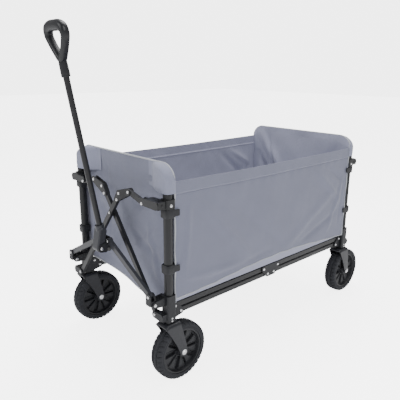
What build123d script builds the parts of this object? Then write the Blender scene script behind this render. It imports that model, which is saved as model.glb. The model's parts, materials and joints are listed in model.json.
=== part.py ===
from build123d import *
import math
import os

# Folding wagon with a pull handle. Millimetres, +Z up, +X to the rear, +Y to the left.
# Everything is drawn about the middle of the wagon on the ground. The last step moves
# it so that the origin is the bottom centre of the overall box.
# Corner parts are drawn once, at the front right, and mirrored to the other corners.

# Overall sizes
post_spacing_x = 850.0        # front post centre to rear post centre
post_spacing_y = 440.0        # right post centre to left post centre
wheel_diameter = 170.0
side_panel_height = 333.0     # fabric, from its lower edge to the top hem
end_panel_rise = 44.0         # the end panels stand this far above the side panels

# Folding travel
rail_fold_deg = 77.0          # how far each side rail turns when the wagon is folded
folded_bar_deg = 76.0         # slope of the cross bars when folded
upper_post_rise = 42.7        # how far the inner posts slide up when folded

# Clearances
running = 0.1                 # radial, a pin in a turning hole
side_gap = 0.4                # a bar between two cheeks
slide_gap = 0.4               # radial, inner post in outer post
fabric_gap = 0.4              # fabric beside metal
past = 1.0                    # how far a cut runs past the face it starts from

# Posts
post_x = -post_spacing_x / 2
post_y = -post_spacing_y / 2
outer_post_r = 12.0
post_wall = 1.6
inner_post_r = outer_post_r - post_wall - slide_gap
collar_r = 14.6
neck_r = 12.5

# Heights of the lower frame
bracket_bottom = wheel_diameter + 14.0
bracket_height = 78.0
bracket_top = bracket_bottom + bracket_height
socket_depth = 30.0
rail_pitch = 20.0             # upper rail above lower rail, and the same distance back
lower_rail_z = bracket_bottom + 18.0
upper_rail_z = lower_rail_z + rail_pitch
rail_half_height = 7.0
rail_width = 12.0
tube_wall = 1.5
pin_r = 3.0
cheek = 3.0
cheek_r = 9.5                 # rounding of a cheek about its pin
casting_corner = 5.0
lug_root_r = 11.0
lug_half_height = 10.0        # the solid part of a lug next to its post
stem_room = 1.0               # above the fork stem in its bore
stem_gap = 0.2                # radial, round the fork stem

# Side rails, as distances from the post and from the middle of the wagon
rail_inset = 6.0              # the rails stand this far inside the line of the posts
rail_y = post_y + rail_inset
plate_r = 10.0
upper_rail_from_post = 20.0
lower_rail_from_post = upper_rail_from_post + rail_pitch
lower_rail_from_middle = 15.0
upper_rail_from_middle = lower_rail_from_middle + rail_pitch

# Fabric liner
fabric = 2.0
seam_gap = 0.3                # between one sewn piece and the next
pocket_wall = 3.5             # fabric layers round an inner post
pocket_top_gap = 0.5
end_corner_r = 48.0
liner_bottom = upper_rail_z + 16.0
mat_thickness = 5.0
side_panel_top = liner_bottom + side_panel_height
end_panel_top = side_panel_top + end_panel_rise
liner_x = abs(post_x) - collar_r - fabric_gap
liner_y = abs(post_y) + 10.0

# Post heights
collar_height = 25.0
outer_post_top = side_panel_top - 68.0
lower_collar_z = bracket_top + 63.0
slide_bottom = outer_post_top + 0.4
upper_bracket_height = 24.0
neck_height = 13.0
neck_top = slide_bottom + upper_bracket_height + neck_height
inner_post_top = end_panel_top - 36.0   # low enough for the round corner of the fabric
inner_post_overlap = upper_post_rise + 127.0

# Cross bars at each end, in the plane across the wagon
bar_half_width = 7.0
bar_thickness = 10.0
layer_inner = post_x - 21.5   # bars that stand on the right
layer_outer = layer_inner - 11.0
foot_from_post = 27.0
foot_z = lower_rail_z
cross_rise = 246.0            # foot to crossing pin
gusset = 2.0
gusset_length = 26.0          # how far the gusset runs back down the bar
crossing_pin_room = 3.0       # how far the crossing pin stands past the two bars
crossing_gap = 0.25
bar_reach = 398.6             # foot pivot to the bar's upper end
knee_along = 436.0            # foot pivot to knee pivot, along the bar
knee_offset = 27.8            # knee pivot to the bar's centre line
arm_pivot_from_post = 58.0
arm_thinner = 1.0             # the arm is this much thinner than the bars
arm_pivot_z = slide_bottom + 7.0
foot_y = post_y + foot_from_post
cross_z = foot_z + cross_rise
bar_slope = math.atan2(cross_rise, -foot_y)
knee_y = foot_y + knee_along * math.cos(bar_slope) + knee_offset * math.sin(bar_slope)
knee_z = foot_z + knee_along * math.sin(bar_slope) - knee_offset * math.cos(bar_slope)
bar_end_y = foot_y + bar_reach * math.cos(bar_slope)
bar_end_z = foot_z + bar_reach * math.sin(bar_slope)
arm_pivot_y = post_y + arm_pivot_from_post

# Draw yoke and handle
clevis_x = post_x - 48.0
clevis_z = bracket_top - 15.0
clevis_from_post = 10.0
clevis_width = 22.0
clevis_pin_r = 4.0
clevis_tip_r = 9.0
clevis_root_r = 12.0
swivel_r = 8.6
yoke_x = post_x - 53.0
yoke_foot_z = clevis_z + 23.0
yoke_half_width = 8.0
yoke_thickness = 10.0
hub_z = yoke_foot_z + 102.0
hub_pivot_y = 18.0            # each leg pivots this far from the middle
hub_plate = 2.4
hub_lug_r = 8.0
hub_foot_r = 14.0
hub_ear_r = 11.0
handle_pivot_x = yoke_x - 26.0
handle_pivot_z = hub_z - 18.0
handle_lean_deg = 10.0
handle_base_half_width = 16.5
handle_base_r = 12.0
handle_socket_depth = 18.0
handle_socket_r = 12.5
handle_tube_r = 8.0
handle_tube_start = (yoke_x - 16.5, 0, hub_z + 30.0)
handle_tube_length = 450.0
grip_start = 428.0
grip_half_width = 53.0
grip_height = 135.0
grip_thickness = 24.0
ferrule_r = 11.5
ferrule_length = 34.0
grip_edge = 7.0

# Wheels and forks
wheel_r = wheel_diameter / 2
tyre_width = 42.0
tyre_depth = 19.0
shoulder_r = 7.0
rim_r = wheel_r - tyre_depth
rim_width = 36.0
rim_band = 6.0
wheel_hub_r = 17.0
wheel_hub_width = 40.0
web = 7.0
spoke_count = 5
wide_window = 7.0             # half width of the windows between spokes
narrow_window = 3.0           # half width of the window in each spoke
axle_r = 5.0
bolt_head_r = 8.0
bolt_head = 3.5
leg_inside = tyre_width / 2 + 1.5
leg_thickness = 3.0
crown_bottom = wheel_diameter + 6.0
crown_thickness = 6.0
crown_corner = 6.0
washer = 1.5
stem_r = 8.0
stem_length = 36.0
front_trail = 33.0            # caster wheels run this far behind their stems
rear_trail = -18.0            # rear wheels stand this far outside the rear posts

right = "right"
left = "left"
front = "front"
rear = "rear"
# Trail, crown from and to as distances from the stem, and rounding of the leg tip
fork_sizes = {front: (front_trail, -27.0, 23.0, 13.0), rear: (rear_trail, -36.0, 16.0, 10.0)}


def drum(centre, axis, length, radius):
    # A round bar centred on a point.
    return Plane(origin=centre, z_dir=axis) * Cylinder(radius, length)


def block(low, high):
    # A box between two corners.
    size = [b - a for a, b in zip(low, high)]
    middle = [(a + b) / 2 for a, b in zip(low, high)]
    return Pos(*middle) * Box(*size)


def hull(circles):
    # The flat outline that a belt round some circles would take.
    edges = [edge for u, v, r in circles for edge in (Pos(u, v) * Circle(r)).edges()]
    return make_hull(edges)


def side_plate(circles, y_low, y_high):
    # A plate that faces sideways; circles are given as x, z, radius.
    plane = Plane(origin=(0, y_high, 0), x_dir=(1, 0, 0), z_dir=(0, -1, 0))
    return extrude(plane * hull(circles), amount=y_high - y_low)


def end_plate(circles, x_low, x_high):
    # A plate that faces along the wagon; circles are given as y, z, radius.
    plane = Plane(origin=(x_low, 0, 0), x_dir=(0, 1, 0), z_dir=(1, 0, 0))
    return extrude(plane * hull(circles), amount=x_high - x_low)


def link(a, b, normal, half_width, thickness, hole_a, hole_b):
    # A rectangular tube with round ends, its two holes square to its flat sides.
    start = Vector(*a)
    run = Vector(*b) - start
    half = run.length / 2
    body = Box(run.length, 2 * half_width, thickness)
    core = Box(run.length + 4 * half_width, 2 * (half_width - tube_wall), thickness - 2 * tube_wall)
    for end in (-half, half):
        body += Pos(end, 0, 0) * Cylinder(half_width, thickness)
    body -= core
    for end, hole in ((-half, hole_a), (half, hole_b)):
        if hole > 0:
            body -= Pos(end, 0, 0) * Cylinder(hole, thickness * 2)
    return Plane(origin=start + run * 0.5, x_dir=run, z_dir=normal) * body


def place(shape, end, side):
    # Mirror a front right part to another corner.
    if end == rear:
        shape = mirror(shape, about=Plane.YZ)
    if side == left:
        shape = mirror(shape, about=Plane.XZ)
    return shape


def outer_post():
    # Steel tube, seated in the lower bracket, with a plastic collar near each end.
    tube_bottom = bracket_top - socket_depth
    height = outer_post_top - tube_bottom
    centre = (post_x, post_y, tube_bottom + height / 2)
    post = drum(centre, (0, 0, 1), height, outer_post_r)
    for z in (outer_post_top - collar_height / 2, lower_collar_z + collar_height / 2):
        post += drum((post_x, post_y, z), (0, 0, 1), collar_height, collar_r)
    return post - drum(centre, (0, 0, 1), height + 2 * past, outer_post_r - post_wall)


def bracket_block(low_z, high_z):
    # The rounded square casting that surrounds a post.
    core = block((post_x - collar_r, post_y - collar_r, low_z), (post_x + collar_r, post_y + collar_r, high_z))
    return fillet(core.edges().filter_by(Axis.Z), casting_corner)


def lugs(layer, post_side, pivot_y, pivot_z):
    # Two cheeks on either side of a bar layer, joined by a block next to the post.
    inner = layer + bar_thickness / 2 + side_gap
    outer = layer - bar_thickness / 2 - side_gap
    outline = [(post_y, pivot_z, lug_root_r), (pivot_y, pivot_z, cheek_r)]
    shape = end_plate(outline, inner, inner + cheek)
    shape += end_plate(outline, outer - cheek, outer)
    low = (outer - past, post_y - lug_half_height, pivot_z - lug_half_height)
    return shape + block(low, (post_x - lug_half_height, post_side, pivot_z + lug_half_height))


def lug_pin(layer, pivot_y, pivot_z):
    length = bar_thickness + 2 * side_gap + 2 * cheek
    return drum((layer, pivot_y, pivot_z), (1, 0, 0), length, pin_r)


def rail_pivots():
    # Where the upper and lower rail turn on the corner bracket.
    return (post_x + upper_rail_from_post, upper_rail_z), (post_x + lower_rail_from_post, lower_rail_z)


def lower_bracket(layer, with_clevis):
    # Casting at the foot of a post: post socket, stem bore, rail cheeks, cross bar lugs.
    shape = bracket_block(bracket_bottom, bracket_top)
    gap = rail_width / 2 + side_gap
    pivots = rail_pivots()
    outline = [(x, z, cheek_r) for x, z in pivots]
    outline += [(post_x, upper_rail_z, cheek_r), (post_x, bracket_bottom + cheek_r, cheek_r)]
    for y in (rail_y - gap - cheek, rail_y + gap):
        shape += side_plate(outline, y, y + cheek)
    room_low = (post_x + upper_rail_from_post - rail_half_height - side_gap, rail_y - gap, bracket_bottom - past)
    room_high = (post_x + lower_rail_from_post + 2 * cheek_r, rail_y + gap, bracket_top + past)
    shape -= block(room_low, room_high)
    foot_block_side = foot_y - bar_half_width - cheek
    shape += lugs(layer, foot_block_side, foot_y, foot_z)
    if with_clevis:
        shape += clevis_ears()
    shape -= drum((post_x, post_y, bracket_top), (0, 0, 1), 2 * socket_depth, outer_post_r)
    stem_bore = 2 * (stem_length + stem_room)
    shape -= drum((post_x, post_y, bracket_bottom), (0, 0, 1), stem_bore, stem_r + stem_gap)
    shape -= lug_pin(layer, foot_y, foot_z)
    pins = [lug_pin(layer, foot_y, foot_z)]
    for x, z in pivots:
        pin = drum((x, rail_y, z), (0, 1, 0), 2 * (gap + cheek), pin_r)
        shape -= pin
        pins.append(pin)
    return Compound([shape.solid()] + [pin.solid() for pin in pins])


def clevis_centre_y():
    return post_y + clevis_from_post


def clevis_ears():
    # Two ears that reach forward and hold the yoke's cross pin.
    outline = [(clevis_x, clevis_z, clevis_tip_r), (post_x - clevis_root_r, clevis_z, clevis_root_r)]
    half = clevis_width / 2 + side_gap
    centre = clevis_centre_y()
    low = (post_x - collar_r, post_y, clevis_z - clevis_root_r)
    ears = block(low, (post_x - casting_corner, centre + half + cheek, clevis_z + clevis_root_r))
    for y in (centre - half - cheek, centre + half):
        ears += side_plate(outline, y, y + cheek)
    return ears - drum((clevis_x, centre, clevis_z), (0, 1, 0), 3 * clevis_width, clevis_pin_r)


def inner_post(layer):
    # Sliding tube with the plastic bracket that carries the upper arm.
    bottom = outer_post_top - inner_post_overlap
    height = inner_post_top - bottom
    centre = (post_x, post_y, bottom + height / 2)
    bracket_end = slide_bottom + upper_bracket_height
    shape = bracket_block(slide_bottom, bracket_end)
    shape += drum((post_x, post_y, (bracket_end + neck_top) / 2), (0, 0, 1), neck_top - bracket_end, neck_r)
    arm_block_side = arm_pivot_y - bar_half_width - cheek - past
    arm_lugs = lugs(layer, arm_block_side, arm_pivot_y, slide_bottom + upper_bracket_height / 2)
    shape += arm_lugs & block((layer - 2 * bar_thickness, 2 * post_y, slide_bottom), (post_x, 0, bracket_end))
    shape += drum(centre, (0, 0, 1), height, inner_post_r)
    shape -= drum(centre, (0, 0, 1), height + 2 * past, inner_post_r - post_wall)
    pin = lug_pin(layer, arm_pivot_y, arm_pivot_z)
    return Compound([(shape - pin).solid(), pin.solid()])


def upper_arm(layer):
    # Short arm from the upper bracket to the knee of the cross bar on the same side.
    bracket_end = (layer, arm_pivot_y, arm_pivot_z)
    knee_end = (layer, -knee_y, knee_z)
    thickness = bar_thickness - arm_thinner
    return link(bracket_end, knee_end, (1, 0, 0), bar_half_width, thickness, pin_r + running, 0)


def cross_bar(layer, with_pin):
    # Long bar, its foot on this side and its gusset plates beyond the middle.
    foot = (layer, foot_y, foot_z)
    end = (layer, bar_end_y, bar_end_z)
    shape = link(foot, end, (1, 0, 0), bar_half_width, bar_thickness, pin_r + running, pin_r)
    below = bar_reach - gusset_length
    low_y = foot_y + below * math.cos(bar_slope)
    low_z = foot_z + below * math.sin(bar_slope)
    outline = [(bar_end_y, bar_end_z, cheek_r), (knee_y, knee_z, cheek_r), (low_y, low_z, bar_half_width)]
    half = bar_thickness / 2
    for x in (layer - half - gusset, layer + half):
        shape += end_plate(outline, x, x + gusset)
    pin_length = layer_inner - layer_outer + bar_thickness + crossing_pin_room
    pin = drum(((layer_inner + layer_outer) / 2, 0, cross_z), (1, 0, 0), pin_length, pin_r)
    fit = 0.0 if with_pin else crossing_gap
    shape -= drum((layer, 0, cross_z), (1, 0, 0), 4 * bar_thickness, pin_r + fit)
    if with_pin:
        return Compound([shape.solid(), pin.solid()])
    return shape


def side_rail(upper):
    # Front half rail; its pivots on the bracket and on the middle plate.
    bracket_x, z = rail_pivots()[0 if upper else 1]
    middle_x = -(upper_rail_from_middle if upper else lower_rail_from_middle)
    hole = pin_r + running
    start = (bracket_x, rail_y, z)
    end = (middle_x, rail_y, z)
    return link(start, end, (0, 1, 0), rail_half_height, rail_width, hole, hole)


def mid_plate():
    # Two plates and four pins that join the front and rear rails.
    gap = rail_width / 2 + side_gap
    spots = [(s * upper_rail_from_middle, upper_rail_z) for s in (-1, 1)]
    spots += [(s * lower_rail_from_middle, lower_rail_z) for s in (-1, 1)]
    outline = [(x, z, plate_r) for x, z in spots]
    shape = side_plate(outline, rail_y - gap - cheek, rail_y - gap)
    shape += side_plate(outline, rail_y + gap, rail_y + gap + cheek)
    pins = []
    for x, z in spots:
        pin = drum((x, rail_y, z), (0, 1, 0), 2 * (gap + cheek), pin_r)
        shape -= pin
        pins.append(pin)
    return Compound(list(shape.solids()) + [pin.solid() for pin in pins])


def yoke_joint():
    # Block on the clevis pin, with two cheeks that hold the foot of a yoke leg.
    y = clevis_centre_y()
    half = clevis_width / 2
    gap = yoke_thickness / 2 + side_gap
    shape = drum((clevis_x, y, clevis_z), (0, 1, 0), clevis_width, swivel_r)
    low = yoke_foot_z - yoke_half_width - cheek
    shape += block((yoke_x - gap, y - half, clevis_z), (clevis_x + swivel_r - cheek, y + half, low))
    corner = swivel_r / 2
    outline = [(y, yoke_foot_z, plate_r)]
    outline += [(y + side * (half - corner), clevis_z + corner / 2, corner) for side in (-1, 1)]
    for x in (yoke_x - gap - cheek, yoke_x + gap):
        shape += end_plate(outline, x, x + cheek)
    cross_pin = drum((clevis_x, y, clevis_z), (0, 1, 0), clevis_width + 2 * (side_gap + cheek), clevis_pin_r)
    leg_pin = drum((yoke_x, y, yoke_foot_z), (1, 0, 0), 2 * (gap + cheek), pin_r)
    shape = shape - cross_pin - leg_pin
    return Compound([shape.solid(), cross_pin.solid(), leg_pin.solid()])


def yoke_leg():
    start = (yoke_x, clevis_centre_y(), yoke_foot_z)
    end = (yoke_x, -hub_pivot_y, hub_z)
    hole = pin_r + running
    return link(start, end, (1, 0, 0), yoke_half_width, yoke_thickness, hole, hole)


def handle_hub():
    # Two plates over the tops of the yoke legs, and ears that hold the handle base.
    gap = yoke_thickness / 2 + side_gap
    foot = hub_z - 3 * hub_lug_r
    outline = [(-hub_pivot_y, hub_z, hub_lug_r), (hub_pivot_y, hub_z, hub_lug_r), (0, foot, hub_foot_r)]
    shape = end_plate(outline, yoke_x - gap - hub_plate, yoke_x - gap)
    shape += end_plate(outline, yoke_x + gap, yoke_x + gap + hub_plate)
    # The spacer sits beside the right leg, clear of the left leg's swing.
    shape += block((yoke_x - gap, -hub_lug_r, foot), (yoke_x + gap, 0, foot + hub_foot_r))
    back = yoke_x - gap - hub_plate
    ear_low = handle_base_half_width + side_gap
    root = hub_ear_r / 2
    outline = [(handle_pivot_x, handle_pivot_z, hub_ear_r)]
    outline += [(back - root, z, root) for z in (hub_z - hub_lug_r, handle_pivot_z - hub_lug_r)]
    for y in (-ear_low - cheek, ear_low):
        shape += side_plate(outline, y, y + cheek)
    bridge = [(side * (ear_low - cheek), hub_z - 2 * hub_lug_r, hub_lug_r) for side in (-1, 1)]
    shape += end_plate(bridge, back - past, back + hub_plate)
    pin = drum((handle_pivot_x, 0, handle_pivot_z), (0, 1, 0), 2 * (ear_low + cheek), clevis_pin_r)
    leg_pin = drum((yoke_x, -hub_pivot_y, hub_z), (1, 0, 0), 2 * (gap + hub_plate), pin_r)
    shape = shape - pin - leg_pin
    return Compound([shape.solid(), pin.solid(), leg_pin.solid()])


def handle_axis():
    lean = math.radians(handle_lean_deg)
    return Vector(-math.sin(lean), 0, math.cos(lean))


def along_handle(distance):
    return Vector(*handle_tube_start) + handle_axis() * distance


def handle_base():
    # Moulded block that turns on the hub and takes the handle tube.
    half = handle_base_half_width
    top = along_handle(0)
    outline = [(handle_pivot_x, handle_pivot_z, handle_base_r), (top.X, top.Z, handle_base_r)]
    shape = side_plate(outline, -half, half)
    rims = [edge for edge in shape.edges() if abs(abs(edge.center().Y) - half) < 0.01]
    shape = fillet(rims, handle_base_r / 3)
    shape += drum(along_handle(handle_socket_depth / 2), handle_axis(), handle_socket_depth, handle_socket_r)
    shape -= drum(along_handle(handle_socket_depth), handle_axis(), 2 * handle_socket_depth, handle_tube_r)
    return shape - drum((handle_pivot_x, 0, handle_pivot_z), (0, 1, 0), 3 * half, clevis_pin_r + running)


def handle_tube():
    centre = along_handle(handle_tube_length / 2)
    tube = drum(centre, handle_axis(), handle_tube_length, handle_tube_r)
    return tube - drum(centre, handle_axis(), handle_tube_length + 2 * past, handle_tube_r - tube_wall)


def handle_grip():
    # D-shaped moulding in the plane across the wagon, drawn from the end of the tube.
    # Its legs meet below the throat of the loop.
    reach = grip_half_width
    top = grip_height
    throat = 50.0
    outer = [(0, throat - 20.0, ferrule_r)]
    inner = [(0, throat, 5.0)]
    for side in (-1, 1):
        outer.append((side * (reach - 20.0), top - 37.0, 20.0))
        outer.append((side * (reach - 33.0), top - 18.0, 18.0))
        inner.append((side * (reach - 29.0), top - 36.0, 9.0))
    half = grip_thickness / 2
    body = extrude(hull(outer) - hull(inner), amount=half, both=True)
    rims = [edge for edge in body.edges() if abs(abs(edge.center().Z) - half) < 0.01]
    body = fillet(rims, grip_edge)
    body += Pos(0, ferrule_length / 2, 0) * Rot(90, 0, 0) * Cylinder(ferrule_r, ferrule_length)
    body -= Rot(90, 0, 0) * Cylinder(handle_tube_r, 2 * (handle_tube_length - grip_start))
    frame = Plane(origin=along_handle(grip_start), x_dir=(0, 1, 0), z_dir=Vector(0, 1, 0).cross(handle_axis()))
    return frame * body


def wheel_centre(trail):
    return post_x + trail, post_y, wheel_r


def across(trail, offset, width, radius):
    # A round bar on the wheel's axis.
    x, y, z = wheel_centre(trail)
    return drum((x, y + offset, z), (0, 1, 0), width, radius)


def fork(trail, top_from, top_to, tip_r):
    # Stem, crown plate and two legs; top_from and top_to are measured from the stem.
    x, y, z = wheel_centre(trail)
    outside = leg_inside + leg_thickness
    crown_top = crown_bottom + crown_thickness
    shape = block((post_x + top_from, y - outside, crown_bottom), (post_x + top_to, y + outside, crown_top))
    shape = fillet(shape.edges().filter_by(Axis.Z), crown_corner)
    outline = [(x, z, tip_r)]
    outline += [(post_x + edge, crown_bottom, crown_corner - past)
                for edge in (top_from + crown_corner + past, top_to - crown_corner - past)]
    for low in (y - outside, y + leg_inside):
        shape += side_plate(outline, low, low + leg_thickness)
    stem_z = crown_top + stem_length / 2
    shape += drum((post_x, y, stem_z), (0, 0, 1), stem_length, stem_r)
    shape += drum((post_x, y, crown_top + washer / 2), (0, 0, 1), washer, neck_r)
    return shape - across(trail, 0, 4 * outside, axle_r)


def axle(trail):
    # Bolt through the legs, with a flat head and a nut.
    outside = leg_inside + leg_thickness
    shape = across(trail, 0, 2 * outside, axle_r)
    for side in (-1, 1):
        shape += across(trail, side * (outside + bolt_head / 2), bolt_head, bolt_head_r)
    return shape


def tyre(trail):
    # Solid tyre with rounded shoulders.
    ring = across(trail, 0, tyre_width, wheel_r)
    ring = fillet(ring.edges().filter_by(GeomType.CIRCLE), shoulder_r)
    return ring - across(trail, 0, tyre_width + 2 * past, rim_r)


def wheel_rim(trail):
    # Rim band, hub and a web with a wide and a narrow window to each spoke.
    x, y, z = wheel_centre(trail)
    inner_r = rim_r - rim_band
    shape = across(trail, 0, rim_width, rim_r) - across(trail, 0, rim_width + 2 * past, inner_r)
    shape += across(trail, 0, wheel_hub_width, wheel_hub_r)
    disc = across(trail, 0, web, inner_r + past)
    middle = (inner_r + wheel_hub_r) / 2
    window = (inner_r - wheel_hub_r) / 2 - web
    for i in range(2 * spoke_count):
        width = wide_window if i % 2 else narrow_window
        slot = Rot(0, 180.0 / spoke_count * i, 0) * Pos(middle, 0, 0) * Box(2 * window, 2 * web, 2 * width)
        disc -= Pos(x, y, z) * slot
    shape += disc
    return shape - across(trail, 0, 2 * wheel_hub_width, axle_r + running)


def side_panel():
    # One long fabric side between the end panels.
    reach = liner_x - fabric - seam_gap
    return block((-reach, -liner_y, liner_bottom), (reach, -liner_y + fabric, side_panel_top))


def end_panel():
    # Fabric end with a pocket over each inner post.
    sheet = block((-liner_x, -liner_y, liner_bottom), (-liner_x + fabric, liner_y, end_panel_top))
    pocket_r = inner_post_r + pocket_wall
    reach = abs(post_y) + pocket_r
    bore_length = 2 * (inner_post_top - neck_top)
    bore_z = inner_post_top + pocket_top_gap - bore_length / 2
    for side in (-1, 1):
        y = side * abs(post_y)
        pocket = block((post_x - pocket_r, y - pocket_r, neck_top + fabric_gap),
                       (-liner_x + fabric, y + pocket_r, end_panel_top - pocket_wall))
        pocket = fillet(pocket.edges().filter_by(Axis.Z).group_by(Axis.X)[0], 0.7 * pocket_r)
        sheet += pocket
        sheet -= drum((post_x, y, bore_z), (0, 0, 1), bore_length, inner_post_r + fabric_gap)
    ends = [(side * (reach - end_corner_r), end_panel_top - end_corner_r, end_corner_r) for side in (-1, 1)]
    ends += [(side * (reach - fabric), liner_bottom + fabric, fabric) for side in (-1, 1)]
    return sheet & end_plate(ends, 2 * post_x, 0)


def floor_mat():
    reach_x = liner_x - fabric - 2 * seam_gap
    reach_y = liner_y - fabric - seam_gap
    return block((-reach_x, -reach_y, liner_bottom), (reach_x, reach_y, liner_bottom + mat_thickness))


def build_parts():
    nodes = {}
    layers = {right: (layer_inner, layer_outer), left: (layer_outer, layer_inner)}
    for end in (front, rear):
        trail, top_from, top_to, tip_r = fork_sizes[end]
        for side in (right, left):
            foot_layer, arm_layer = layers[side]
            corner = {
                "outer_post": outer_post(),
                "lower_bracket": lower_bracket(foot_layer, end == front),
                "inner_post": inner_post(arm_layer),
                "upper_arm": upper_arm(arm_layer),
                "fork": fork(trail, top_from, top_to, tip_r),
                "axle": axle(trail),
                "tyre": tyre(trail),
                "wheel_rim": wheel_rim(trail),
            }
            for name, shape in corner.items():
                nodes[f"{end}_{side}_{name}"] = place(shape, end, side)
            bar = cross_bar(foot_layer, side == right)
            nodes[f"{end}_cross_bar_{side}_foot"] = place(bar, end, side)
            for level in ("upper", "lower"):
                nodes[f"{side}_{end}_{level}_rail"] = place(side_rail(level == "upper"), end, side)
        nodes[f"{end}_panel"] = place(end_panel(), end, right)
    for side in (right, left):
        nodes[f"{side}_mid_plate"] = place(mid_plate(), front, side)
        nodes[f"{side}_yoke_joint"] = place(yoke_joint(), front, side)
        nodes[f"{side}_yoke_leg"] = place(yoke_leg(), front, side)
        nodes[f"{side}_side_panel"] = place(side_panel(), front, side)
    nodes["handle_hub"] = handle_hub()
    nodes["handle_base"] = handle_base()
    nodes["handle_tube"] = handle_tube()
    nodes["handle_grip"] = handle_grip()
    nodes["floor_mat"] = floor_mat()
    return nodes


def ground_centre(nodes):
    # Bottom centre of the box round the whole wagon.
    boxes = [shape.bounding_box() for shape in nodes.values()]
    low = [min(getattr(box.min, axis) for box in boxes) for axis in "XYZ"]
    high = [max(getattr(box.max, axis) for box in boxes) for axis in "XYZ"]
    return (low[0] + high[0]) / 2, (low[1] + high[1]) / 2, low[2]


def folded_spacing():
    # Post spacing along and across the wagon when it is folded.
    rail = abs(post_x) - upper_rail_from_post - upper_rail_from_middle
    along = 2 * (rail * math.cos(math.radians(rail_fold_deg)) + upper_rail_from_post + upper_rail_from_middle)
    half_bar = math.hypot(foot_y, cross_rise)
    across_wagon = 2 * (half_bar * math.cos(math.radians(folded_bar_deg)) + foot_from_post)
    return along, across_wagon


parts = build_parts()
shift = Pos(*[-value for value in ground_centre(parts)])
os.makedirs("parts", exist_ok=True)
for node_name, node_shape in parts.items():
    export_step(shift * node_shape, f"parts/{node_name}.step")
print("folded post spacing", [round(value, 1) for value in folded_spacing()])
print("nodes", len(parts), "origin from post middle", [round(v, 3) for v in ground_centre(parts)])
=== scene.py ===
import json
import math

import bmesh
import bpy
import numpy as np
from mathutils import Matrix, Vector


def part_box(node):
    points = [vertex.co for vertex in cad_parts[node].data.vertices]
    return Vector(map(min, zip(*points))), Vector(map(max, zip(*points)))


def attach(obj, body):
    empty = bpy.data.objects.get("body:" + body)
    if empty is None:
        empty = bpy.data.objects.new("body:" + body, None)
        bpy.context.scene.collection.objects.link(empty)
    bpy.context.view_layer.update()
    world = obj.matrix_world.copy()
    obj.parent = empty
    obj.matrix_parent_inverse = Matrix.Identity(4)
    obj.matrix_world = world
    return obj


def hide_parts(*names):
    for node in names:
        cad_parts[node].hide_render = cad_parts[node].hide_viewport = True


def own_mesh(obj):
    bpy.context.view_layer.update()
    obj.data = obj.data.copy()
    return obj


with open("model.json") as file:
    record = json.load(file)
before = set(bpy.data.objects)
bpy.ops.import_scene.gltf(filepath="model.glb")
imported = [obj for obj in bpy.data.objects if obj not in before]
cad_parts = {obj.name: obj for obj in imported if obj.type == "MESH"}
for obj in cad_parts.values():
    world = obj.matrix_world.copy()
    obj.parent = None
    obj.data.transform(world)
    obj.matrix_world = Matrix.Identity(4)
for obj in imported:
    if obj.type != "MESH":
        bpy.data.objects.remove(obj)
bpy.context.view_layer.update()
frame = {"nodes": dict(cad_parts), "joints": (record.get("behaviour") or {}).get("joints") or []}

mm = 0.001
right, left, front, rear = "right", "left", "front", "rear"


def nodeBox(name):
    low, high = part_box(name)
    return np.array(low), np.array(high)


def nodeMiddle(name):
    low, high = nodeBox(name)
    return (low + high) / 2


postAt = {(end, side): nodeMiddle(f"{end}_{side}_outer_post")
          for end in (front, rear) for side in (right, left)}
middleX = (postAt[front, right][0] + postAt[rear, right][0]) / 2
jointAt = {joint["name"]: np.array(joint["pos_m"]) for joint in frame["joints"] if "pos_m" in joint}
print("frame loaded", len(frame["nodes"]), "nodes")


def surface(points, wrapU=False, wrapV=False, uv=None, seam=None, material=0):
    # A grid of points turned into quads: each cell joins four neighbours, and a wrapped
    # direction joins its last row to its first.
    points = np.asarray(points, float)
    nu, nv = points.shape[:2]
    index = np.arange(nu * nv).reshape(nu, nv)
    if wrapU:
        index = np.concatenate([index, index[:1]], axis=0)
    if wrapV:
        index = np.concatenate([index, index[:, :1]], axis=1)
    faces = np.stack([index[:-1, :-1], index[1:, :-1], index[1:, 1:], index[:-1, 1:]], axis=-1).reshape(-1, 4)
    if uv is None:
        rows, columns = (np.linspace(0, 1, count) for count in index.shape)
        uv = np.stack(np.meshgrid(rows, columns, indexing="ij"), axis=-1)
    corners = np.stack([uv[:-1, :-1], uv[1:, :-1], uv[1:, 1:], uv[:-1, 1:]], axis=2).reshape(-1, 2)
    seamValues = np.full(nu * nv, 1.0) if seam is None else np.asarray(seam, float).reshape(-1)
    return {"points": points.reshape(-1, 3), "faces": faces, "uv": corners, "seam": seamValues,
            "material": material}


def normalsOf(points):
    # Cross product of the two directions of the grid, at each point.
    n = np.cross(np.gradient(points, axis=0), np.gradient(points, axis=1))
    return n / np.maximum(np.linalg.norm(n, axis=-1, keepdims=True), 1e-12)


def arcUv(points):
    # Distances in metres along both directions of the grid.
    du = np.linalg.norm(np.diff(points, axis=0), axis=-1)
    dv = np.linalg.norm(np.diff(points, axis=1), axis=-1)
    u = np.concatenate([np.zeros((1, points.shape[1])), np.cumsum(du, axis=0)])
    v = np.concatenate([np.zeros((points.shape[0], 1)), np.cumsum(dv, axis=1)], axis=1)
    return np.stack([u, v], axis=-1)


def thickSheet(points, thickness, seam=None, material=0):
    # Cloth with two faces half a thickness either side of a surface, joined round the rim.
    half = normalsOf(points) * thickness / 2
    uv = arcUv(points)
    seam = np.ones(points.shape[:2]) if seam is None else seam
    outside = surface(points + half, uv=uv, seam=seam, material=material)
    inside = surface((points - half)[:, ::-1], uv=uv[:, ::-1], seam=seam[:, ::-1], material=material)

    def rimOf(grid):
        return np.concatenate([grid[:-1, 0], grid[-1, :-1], grid[:0:-1, -1], grid[0, :0:-1]])

    rim = np.stack([rimOf(points - half), rimOf(points + half)])
    edge = surface(rim, wrapV=True, material=material)
    return [outside, inside, edge]


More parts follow.
